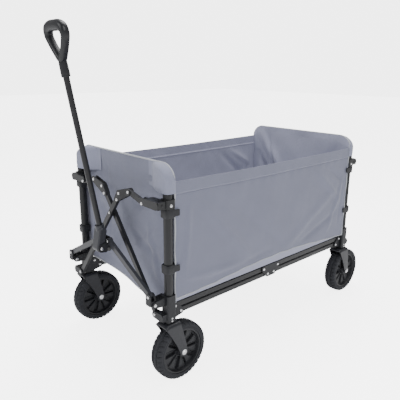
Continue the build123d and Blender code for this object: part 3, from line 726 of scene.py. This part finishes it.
def tyreParts(centre, radius, half, rimRadius):
    # Section: bore, side wall, rounded shoulder, tread. The radius drops in V-shaped grooves
    # between the blocks and in a groove round the middle.
    bead = rimRadius + 0.3 * mm
    section = smoothPath([
        (-half + 1 * mm, bead), (-half, bead + 2 * mm), (-half, radius - 9 * mm),
        (-half + 2.4 * mm, radius - 3.4 * mm), (-half + 7.5 * mm, radius - 0.9 * mm), (0, radius),
        (half - 7.5 * mm, radius - 0.9 * mm), (half - 2.4 * mm, radius - 3.4 * mm),
        (half, radius - 9 * mm), (half, bead + 2 * mm), (half - 1 * mm, bead)], 62)
    section[:, 1] = np.minimum(section[:, 1], radius)
    section[:, 0] = np.clip(section[:, 0], -half, half)
    angle = np.linspace(0, 2 * np.pi, 476, endpoint=False)
    y, r = section[:, :1], section[:, 1:]
    lean = np.abs(y) / half
    blocks = wheelSize["treadBlocks"]
    phase = np.mod(angle[None] / (2 * np.pi) * blocks + 0.55 * lean + 0.5 * (y > 0), 1.0)
    groove = 1 - smoothStep(0.09, 0.15, np.abs(phase - 0.5))
    middle = 1 - smoothStep(0.05, 0.10, np.abs(lean - 0.32) + 0.02 * np.sin(angle[None] * blocks))
    onTread = smoothStep(radius - 10 * mm, radius - 6 * mm, r)
    depth = wheelSize["treadDepth"] * np.maximum(groove * smoothStep(0.2, 0.34, lean), middle) * onTread
    sideRing = 0.7 * mm * np.exp(-((r - rimRadius - 6 * mm) / (1.2 * mm)) ** 2)
    r = r - depth
    y = y - np.sign(y) * sideRing
    points = np.stack([centre[0] + r * np.cos(angle), centre[1] + y + 0 * angle[None],
                       centre[2] + r * np.sin(angle)], axis=-1)
    bore = np.stack([points[-1], points[0]])
    return [surface(points, wrapV=True), surface(bore, wrapV=True)]


def rimParts(centre, rimRadius):
    # Each face is a height over a disc: a proud outer ring, a deep dish, and in it ten radial
    # slots, wide and narrow by turns, deeper still.
    low, high = nodeBox("front_right_wheel_rim")
    half = (high[1] - low[1]) / 2 - 1.6 * mm
    hubHalf = (high[1] - low[1]) / 2
    hubRadius = wheelSize["hubRadius"]
    r = np.concatenate([[5.2 * mm, 5.2 * mm], np.linspace(6 * mm, hubRadius + 1 * mm, 6),
                        np.linspace(hubRadius + 2.5 * mm, rimRadius - 0.05 * mm, 34), [rimRadius]])
    angle = np.linspace(0, 2 * np.pi, 360, endpoint=False)
    rr, aa = np.meshgrid(r, angle, indexing="ij")
    hub = 1 - smoothStep(hubRadius, hubRadius + 2.5 * mm, rr)
    ring = smoothStep(rimRadius - 7 * mm, rimRadius - 5 * mm, rr)
    web = half - wheelSize["dish"] - 2 * mm * smoothStep(rimRadius - 8 * mm, hubRadius, rr)
    spacing = 2 * np.pi / (2 * wheelSize["spokes"])
    turn = np.mod(aa + spacing / 2, spacing) - spacing / 2
    wide = np.mod(np.round((aa - turn) / spacing), 2)
    slotHalf = np.where(wide > 0.5, wheelSize["slotHalf"][1], wheelSize["slotHalf"][0])
    across = np.abs(turn) * rr
    slot = (1 - smoothStep(slotHalf - 0.5 * mm, slotHalf + 0.5 * mm, across))
    slot *= smoothStep(hubRadius + 4 * mm, hubRadius + 6 * mm, rr)
    slot *= 1 - smoothStep(rimRadius - 11 * mm, rimRadius - 9 * mm, rr)
    rib = 1.2 * mm * (1 - smoothStep(0.4 * mm, 1.6 * mm, np.abs(across - slotHalf - 2.2 * mm)))
    rib *= smoothStep(hubRadius + 3 * mm, hubRadius + 8 * mm, rr) * (1 - ring)
    height = web * (1 - hub) * (1 - ring) + hub * hubHalf + ring * half * (1 - hub)
    height = height - slot * wheelSize["slotDepth"] + rib
    height[0] = 0
    height[-1] = half - 1.0 * mm
    faces = []
    for side in (-1, 1):
        y = centre[1] + side * height
        face = np.stack([centre[0] + rr * np.cos(aa), y, centre[2] + rr * np.sin(aa)], axis=-1)
        faces.append(surface(face, wrapV=True))
    outer = np.stack([np.stack([centre[0] + rr[-1] * np.cos(angle), centre[1] + side * height[-1],
                                centre[2] + rr[-1] * np.sin(angle)], axis=-1) for side in (-1, 1)])
    faces.append(surface(outer, wrapV=True))
    return faces


boltSize = {"washer": 0.8 * mm, "washerRadius": 7.9 * mm, "head": 5.6 * mm, "rod": 4.9 * mm}


def boltParts(corner):
    # A hexagon head with a domed top on a washer at each end of the axle rod.
    low, high = nodeBox(f"{corner}_axle")
    centre = (low + high) / 2
    half = (high[1] - low[1]) / 2
    parts = []
    for side in (-1, 1):
        axis = (0, side, 0)
        face = half - 3.5 * mm
        seat = face + boltSize["washer"]
        washer = [(face, 0), (face, boltSize["washerRadius"]), (seat, boltSize["washerRadius"]), (seat, 0)]
        head = [(seat, 0), (seat, boltSize["head"]), (half - 1.0 * mm, boltSize["head"]),
                (half - 0.4 * mm, 5.0 * mm), (half, 3.4 * mm), (half, 0)]
        parts.append(lathe(washer, centre, axis, 40))
        parts.append(lathe(head, centre, axis, 48, hexShape))
    end, rod = half - 4 * mm, boltSize["rod"]
    parts.append(lathe([(-end, 0), (-end, rod), (end, rod), (end, 0)], centre, (0, 1, 0), 24))
    return parts


# from and to are the plate's edges at the crown, measured from the stem
forkSize = {"plate": 3.0 * mm, "bend": 8 * mm, "stemLength": 36 * mm, "stemRadius": 8 * mm,
            "washer": 1.5 * mm, "washerRadius": 12.5 * mm, "lip": 5 * mm, "waist": 0.76, "rib": 1.4 * mm,
            front: {"from": -27 * mm, "to": 23 * mm, "tip": 13 * mm},
            rear: {"from": -36 * mm, "to": 16 * mm, "tip": 11 * mm}}


def forkParts(corner, end, stem):
    # One bent plate: a path up one leg, over the crown and down the other leg, with the plate's
    # front and rear edges drawing in from the crown to a round tip about the axle.
    low, high = nodeBox(f"{corner}_fork")
    axle = nodeMiddle(f"{corner}_axle")
    plate, bend, size = forkSize["plate"], forkSize["bend"], forkSize[end]
    middleY = (low[1] + high[1]) / 2
    outside = (high[1] - low[1]) / 2 - plate / 2
    crownTop = high[2] - forkSize["stemLength"]
    crownZ = crownTop - plate / 2
    turn = np.linspace(0, np.pi / 2, 9)[1:-1]
    leg = np.linspace(axle[2] - size["tip"] * 0.97, crownZ - bend, 34)
    bendY = outside - bend * (1 - np.cos(turn))
    bendZ = crownZ - bend * (1 - np.sin(turn))
    up = np.concatenate([np.stack([np.full(34, outside), leg], 1), np.stack([bendY, bendZ], 1)])
    across = np.linspace(outside - bend, bend - outside, 14)
    path = np.concatenate([up, np.stack([across, np.full(14, crownZ)], 1), up[::-1] * [-1, 1]])

    # fall goes from 0 at the crown to 1 at the axle
    fall = np.clip((crownZ - bend - path[:, 1]) / (crownZ - bend - axle[2]), 0, 1)
    draw = forkSize["waist"] * np.sin(fall * np.pi / 2) + (1 - forkSize["waist"]) * fall ** 3
    below = np.clip(axle[2] - path[:, 1], 0, size["tip"] * 0.98)
    tip = np.sqrt(size["tip"] ** 2 - below ** 2)

    def plateEdge(sign, crownOffset):
        start, finish = stem[0] + crownOffset, axle[0] + sign * size["tip"]
        return np.where(below > 0, axle[0] + sign * tip, start + draw * (finish - start))

    ahead, behind = plateEdge(-1, size["from"]), plateEdge(1, size["to"])
    v = np.concatenate([[0, 0.012, 0.04], np.linspace(0.09, 0.91, 13), [0.96, 0.988, 1]])[None, :]
    x = ahead[:, None] + (behind - ahead)[:, None] * v
    onCrown = smoothStep(0.6, 0.0, fall)[:, None] * (np.abs(path[:, :1]) < outside - 1 * mm)
    z = path[:, 1:] - forkSize["lip"] * onCrown * smoothStep(0.16, 0, v) ** 1.5
    press = forkSize["rib"] * smoothStep(0.12, 0.3, v) * smoothStep(0.88, 0.7, v)
    press = press * (smoothStep(0.05, 0.2, fall) * smoothStep(0.95, 0.7, fall))[:, None]
    y = middleY + path[:, :1] + np.sign(path[:, :1]) * (press * 0.2 - 0.3 * mm)
    parts = thickSheet(np.stack([x, y, z], axis=-1), plate)
    base = np.array([stem[0], middleY, crownTop])
    washer, stemTop, stemRadius = forkSize["washer"], forkSize["stemLength"], forkSize["stemRadius"]
    washerRadius = forkSize["washerRadius"]
    parts.append(lathe([(-1.5 * mm, 0), (-1.5 * mm, washerRadius), (washer, washerRadius),
                        (washer, stemRadius), (stemTop, stemRadius), (stemTop, 0)], base, (0, 0, 1), 36))
    # a boss on the outside of each leg, round the axle
    inside, face = outside - 2.2 * mm, outside + 1.3 * mm
    for side in (-1, 1):
        parts.append(lathe([(inside, 0), (inside, 10 * mm), (face, 9.4 * mm), (face, 0)],
                           (axle[0], middleY, axle[2]), (0, side, 0), 32))
    return parts


for end in (front, rear):
    for side in (right, left):
        corner = f"{end}_{side}"
        centre, radius, half, rimRadius = wheelFacts(corner)
        carrier = f"{corner}_caster" if end == front else f"{corner}_frame"
        makePiece(f"{corner}_bent_fork", forkParts(corner, end, postAt[end, side]), [forkPaint], carrier,
                  [f"{corner}_fork"], 50)
        makePiece(f"{corner}_treaded_tyre", tyreParts(centre, radius, half, rimRadius), [tread],
                  f"{corner}_wheel", [f"{corner}_tyre"], 35)
        makePiece(f"{corner}_spoked_rim", rimParts(centre, rimRadius), [wheelPlastic], f"{corner}_wheel",
                  [f"{corner}_wheel_rim"], 35)
        makePiece(f"{corner}_axle_bolt", boltParts(corner), [zinc], carrier,
                  [f"{corner}_axle"], 25)
print("wheels made")


clipSize = {"half": 14.9 * mm, "bore": 12.2 * mm, "edge": 2.5 * mm, "squareness": 5.0,
            "tab": (9 * mm, 28 * mm, 9 * mm), "tabOut": 2.8 * mm,   # tab: start, end and half height
            "heights": ((325 * mm, 350 * mm), (478 * mm, 503 * mm))}


def squareShape(angle):
    # Radius of a square with rounded corners, one unit from its middle to each side.
    n = clipSize["squareness"]
    return (np.abs(np.cos(angle)) ** n + np.abs(np.sin(angle)) ** n) ** (-1 / n)


def softBlock(low, high, power=0.25):
    # A box with rounded edges: sphere coordinates with each sine and cosine raised to a power.
    low, high = np.array(low, float), np.array(high, float)
    turns = np.linspace(0, 2 * np.pi, 40, endpoint=False)
    u, v = np.meshgrid(np.linspace(-np.pi / 2, np.pi / 2, 17), turns, indexing="ij")

    def bent(value):
        return np.sign(value) * np.abs(value) ** power

    ring = bent(np.cos(u))
    shape = np.stack([ring * bent(np.cos(v)), ring * bent(np.sin(v)), bent(np.sin(u))], axis=-1)
    return surface((low + high) / 2 + shape * (high - low) / 2, wrapV=True)


def clipParts(post, out, toward):
    # A moulded sleeve round the post at each height, with a tab that holds the fabric's edge.
    parts = []
    for low, high in clipSize["heights"]:
        edge, half, bore, height = clipSize["edge"], clipSize["half"], clipSize["bore"], high - low
        profile = [(0, bore), (0, half - edge), (edge * 0.3, half - edge * 0.3), (edge, half),
                   (height - edge, half), (height - edge * 0.3, half - edge * 0.3),
                   (height, half - edge), (height, bore), (0, bore)]
        parts.append(lathe(profile, (post[0], post[1], low), (0, 0, 1), 48, squareShape))
        start, stop, tall = clipSize["tab"]
        x = sorted([post[0] + toward * start, post[0] + toward * stop])
        y = sorted([post[1] + out * (half - clipSize["tabOut"]), post[1] + out * half])
        middle = (low + high) / 2
        parts.append(softBlock((x[0], y[0], middle - tall), (x[1], y[1], middle + tall)))
    return parts


for end, toward in ((front, 1), (rear, -1)):
    for side, out in ((right, -1), (left, 1)):
        makePiece(f"{end}_{side}_post_clips", clipParts(postAt[end, side], out, toward), [casting],
                  f"{end}_{side}_frame", (), 35)
print("post clips made")

rivetSize = {"radius": 4.6 * mm, "height": 2.2 * mm, "small": 3.2 * mm, "large": 5.0 * mm}


def rivet(place, axis, offset, radius=None):
    # A dome: height falls off as a quarter ellipse towards its edge.
    radius = radius or rivetSize["radius"]
    t = np.linspace(0, np.pi / 2, 7)
    high = rivetSize["height"] * radius / rivetSize["radius"]
    profile = np.concatenate([[(offset - 0.2 * mm, 0), (offset - 0.2 * mm, radius)],
                              np.stack([offset + high * np.sin(t), radius * np.cos(t)], axis=1)])
    profile[-1, 1] = 0
    return lathe(profile, place, axis, 20)


rivetsOn = {}


def addRivet(body, place, axis, offset, radius=None):
    rivetsOn.setdefault(body, []).append(rivet(place, axis, offset, radius))


def mirrorX(place, end):
    # A place at the front end, or the same place at the rear end.
    return place if end == front else np.array([2 * middleX - place[0], place[1], place[2]])


sideways, lengthways = np.array([0, 1.0, 0]), np.array([1.0, 0, 0])
# how far each surface that carries a rivet stands out from its pivot's middle
standOut = {"cheek": 9.4 * mm, "lug": 8.4 * mm, "crossing": 11.9 * mm, "gusset": 7.0 * mm, "post": 14.6 * mm,
            "yoke": 14.4 * mm, "hub": 7.8 * mm, "hubSide": 19.9 * mm}
gussetRivets = ((0.3986, 0.0), (0.4360, 0.0278), (0.376, 0.004))   # along the bar and off it
screwHeights = (0.1965, 0.1885)
for side in (right, left):
    upper = jointAt["fold" if side == right else "left_front_upper_rail_turn"]
    lower = jointAt[f"{side}_front_lower_rail_turn"]
    for pivot in (upper, lower):
        for face in (-1, 1):
            for end in (front, rear):
                addRivet(f"{end}_{side}_frame", mirrorX(pivot, end), face * sideways, standOut["cheek"])
    for pivot in (jointAt[f"{side}_mid_plate_turn"], jointAt[f"{side}_rear_lower_rail_turn"]):
        for end in (front, rear):
            for face in (-1, 1):
                addRivet(f"{side}_mid_plate", mirrorX(pivot, end), face * sideways, standOut["cheek"])

feet = {right: jointAt["front_cross_bar_turn"], left: jointAt["front_left_frame_turn"]}
crossAt = jointAt["front_cross_bar_crossing"]
slope = math.atan2(crossAt[2] - feet[right][2], -feet[right][1])
for end, sign in ((front, -1), (rear, 1)):
    outward = sign * lengthways
    for side, foot in feet.items():
        addRivet(f"{end}_{side}_frame", mirrorX(foot, end), outward, standOut["lug"])
    addRivet(f"{end}_cross_bar_right_foot", mirrorX(crossAt, end), outward, standOut["crossing"], 4.0 * mm)
    for side, toward in ((right, 1), (left, -1)):
        foot, frameBody, postBody = feet[side], f"{end}_{side}_frame", f"{end}_{side}_inner_post"
        for along, off in gussetRivets:
            y = foot[1] + toward * (along * math.cos(slope) + off * math.sin(slope))
            z = foot[2] + along * math.sin(slope) - off * math.cos(slope)
            place = mirrorX(np.array([foot[0], y, z]), end)
            addRivet(f"{end}_cross_bar_{side}_foot", place, outward, standOut["gusset"])
        arm, post, edge = jointAt[f"{end}_{side}_arm_turn"], postAt[end, side], -toward * sideways
        addRivet(postBody, arm, outward, standOut["lug"])
        addRivet(postBody, np.array([post[0], post[1], arm[2] + 1.6 * mm]), edge, standOut["post"])
        for height in screwHeights:
            place = np.array([post[0], post[1], height])
            addRivet(frameBody, place, edge, standOut["post"], rivetSize["small"])
for side in (right, left):
    place = jointAt["yoke_tilt" if side == right else "left_yoke_tilt"]
    for face in (-1, 1):
        addRivet(f"front_{side}_frame", place, face * sideways, standOut["yoke"], rivetSize["large"])
    addRivet(f"{side}_yoke_joint", jointAt[f"{side}_yoke_leg_turn"], -lengthways, standOut["lug"])
hubPlace = jointAt["handle_hub_turn"]
for face in (-1, 1):
    place = np.array([hubPlace[0], face * abs(hubPlace[1]), hubPlace[2]])
    addRivet("handle_hub", place, -lengthways, standOut["hub"])
    addRivet("handle_hub", jointAt["handle_tilt"], face * sideways, standOut["hubSide"], rivetSize["large"])
for body, domes in sorted(rivetsOn.items()):
    makePiece(f"{body}_rivets", domes, [zinc], body, (), 60)
print("rivets made", len(rivetsOn))


# lean in degrees; loop, width and deep in millimetres from the tube's end, from the neck to the top
gripSize = {"lean": 10.0, "start": 428 * mm, "tubeRadius": 8 * mm,
            "loop": [(0.0, 42), (19, 61), (34, 82), (42.5, 100), (37, 115.5), (20, 121.5), (0, 122)],
            "width": [8.5, 8.6, 8.8, 10.0, 12.6, 13.4, 13.5],
            "deep": [10.5, 10.5, 10.5, 11.0, 11.8, 12.0, 12.0]}


def gripParts():
    # An oval carried round a D-shaped loop, on a ferrule turned about the tube.
    lean = math.radians(gripSize["lean"])
    axis = np.array([-math.sin(lean), 0, math.cos(lean)])
    low, high = nodeBox("handle_tube")
    tubeRadius = gripSize["tubeRadius"]
    start = np.array([high[0] - tubeRadius * math.cos(lean), 0, low[2] + tubeRadius * math.sin(lean)])
    base = start + axis * gripSize["start"]
    half = np.column_stack([gripSize["loop"], gripSize["width"], gripSize["deep"]]) * mm
    other = half[-2:0:-1] * [-1, 1, 1, 1]
    ring = smoothPath(np.concatenate([half, other]), 132, closed=True)
    path = base + ring[:, :1] * sideways + ring[:, 1:2] * axis
    along = np.roll(path, -1, axis=0) - np.roll(path, 1, axis=0)
    along /= np.linalg.norm(along, axis=1, keepdims=True)
    depth = np.cross(sideways, axis)
    upward = np.broadcast_to(depth, path.shape)
    across = np.cross(along, upward)
    loop = sweep(path, across, upward, ring[:, 2], ring[:, 3], sides=28, closed=True, power=0.85)
    collar = smoothPath(np.array([(0, 10.6), (1, 11.5), (7, 11.5), (8, 10.9), (9, 11.5), (24, 11.2),
                                  (33, 11.0), (41, 10.2), (48, 8.0)]) * mm, 50)
    collar = np.concatenate([[(0, 8.1 * mm)], collar, [(collar[-1, 0], 0)]])
    ferrule = lathe(collar, base, axis, 40)
    shoulder = smoothPath(np.array([(30, 9.0), (38, 9.8), (46, 9.6), (54, 7.0), (58, 3.5)]) * mm, 24)
    shoulder = np.concatenate([[(shoulder[0, 0], 0)], shoulder, [(shoulder[-1, 0], 0)]])
    return [loop, ferrule, lathe(shoulder, base, axis, 32)]


makePiece("moulded_grip", gripParts(), [gripPlastic], "handle", ["handle_grip"], 45)
print("grip made")


# the material of each CAD node, by the ending of its name
finishFor = {
    "outer_post": steel, "inner_post": steel, "upper_arm": steel, "rail": steel, "foot": steel,
    "handle_tube": steel, "yoke_leg": yokePaint, "handle_base": yokePaint, "lower_bracket": casting,
    "mid_plate": casting, "yoke_joint": casting, "handle_hub": casting,
}
for name, node in frame["nodes"].items():
    for ending, material in finishFor.items():
        if name.endswith(ending):
            node.data.materials.clear()
            node.data.materials.append(material)


cameraPlace = {"location": (-1.1055, -1.1284, 0.8455), "yaw": 42.37, "pitch": 15.49, "roll": 0.43,
               "lens": 42.65, "sensor": 36.0}


def addCamera():
    yaw, pitch, roll = (math.radians(cameraPlace[key]) for key in ("yaw", "pitch", "roll"))
    forward = np.array([math.sin(yaw) * math.cos(pitch), math.cos(yaw) * math.cos(pitch), -math.sin(pitch)])
    across = np.array([math.cos(yaw), -math.sin(yaw), 0])
    upward = np.cross(across, forward)
    turnedAcross = math.cos(roll) * across + math.sin(roll) * upward
    turnedUp = -math.sin(roll) * across + math.cos(roll) * upward
    data = bpy.data.cameras.new("camera")
    data.lens = cameraPlace["lens"]
    data.sensor_width = cameraPlace["sensor"]
    camera = bpy.data.objects.new("camera", data)
    columns = np.stack([turnedAcross, turnedUp, -forward, cameraPlace["location"]], axis=1)
    camera.matrix_world = Matrix(np.vstack([columns, [0, 0, 0, 1]]).tolist())
    bpy.context.scene.collection.objects.link(camera)
    bpy.context.scene.camera = camera


lightPlace = {
    "key": {"at": (-0.7, -2.6, 2.3), "size": 1.4, "power": 34},
    "fill": {"at": (-2.7, 0.6, 1.9), "size": 1.6, "power": 27},
    "top": {"at": (0.5, 0.3, 2.8), "size": 1.8, "power": 74},
    "world": 0.52, "seenWorld": 4.5, "floor": 0.95, "floorGlow": 0.45,
}


def addLights():
    target = np.array([middleX, 0, 0.35])
    for name in ("key", "fill", "top"):
        lamp = bpy.data.lights.new(name, "AREA")
        lamp.energy = lightPlace[name]["power"]
        lamp.size = lightPlace[name]["size"]
        holder = bpy.data.objects.new(name, lamp)
        place = np.array(lightPlace[name]["at"])
        back, first, second = axesFor(place - target)
        columns = np.stack([first, second, back, place], axis=1)
        holder.matrix_world = Matrix(np.vstack([columns, [0, 0, 0, 1]]).tolist())
        bpy.context.scene.collection.objects.link(holder)
    # The world lights the wagon softly, and looks whiter behind it than the light it gives.
    world = bpy.data.worlds.new("studio")
    world.use_nodes = True
    tree = world.node_tree
    background = tree.nodes["Background"]
    background.inputs["Color"].default_value = (1, 1, 1, 1)
    seen = tree.nodes.new("ShaderNodeLightPath").outputs["Is Camera Ray"]
    given = lightPlace["world"]
    extra = lightPlace["seenWorld"] - given
    tree.links.new(mathNode(tree, "MULTIPLY_ADD", seen, extra, given), background.inputs["Strength"])
    bpy.context.scene.world = world


def addFloor():
    mesh = bpy.data.meshes.new("floor")
    reach = 14.0
    corners = [(-reach, -reach, 0), (reach, -reach, 0), (reach, reach, 0), (-reach, reach, 0)]
    mesh.from_pydata(corners, [], [(0, 1, 2, 3)])
    floor = bpy.data.objects.new("floor", mesh)
    material, tree, shader = newMaterial("paleFloor", Roughness=0.9, Specular_IOR_Level=0.1)
    shader.inputs["Base Color"].default_value = (lightPlace["floor"],) * 3 + (1.0,)
    shader.inputs["Emission Color"].default_value = (1, 1, 1, 1)
    seen = tree.nodes.new("ShaderNodeLightPath").outputs["Is Camera Ray"]
    glow = lightPlace["floorGlow"]
    shine = mathNode(tree, "MULTIPLY_ADD", seen, lightPlace["seenWorld"] - glow, glow)
    tree.links.new(shine, shader.inputs["Emission Strength"])
    mesh.materials.append(material)
    bpy.context.scene.collection.objects.link(floor)


addCamera()
addLights()
addFloor()

print("scene ready")
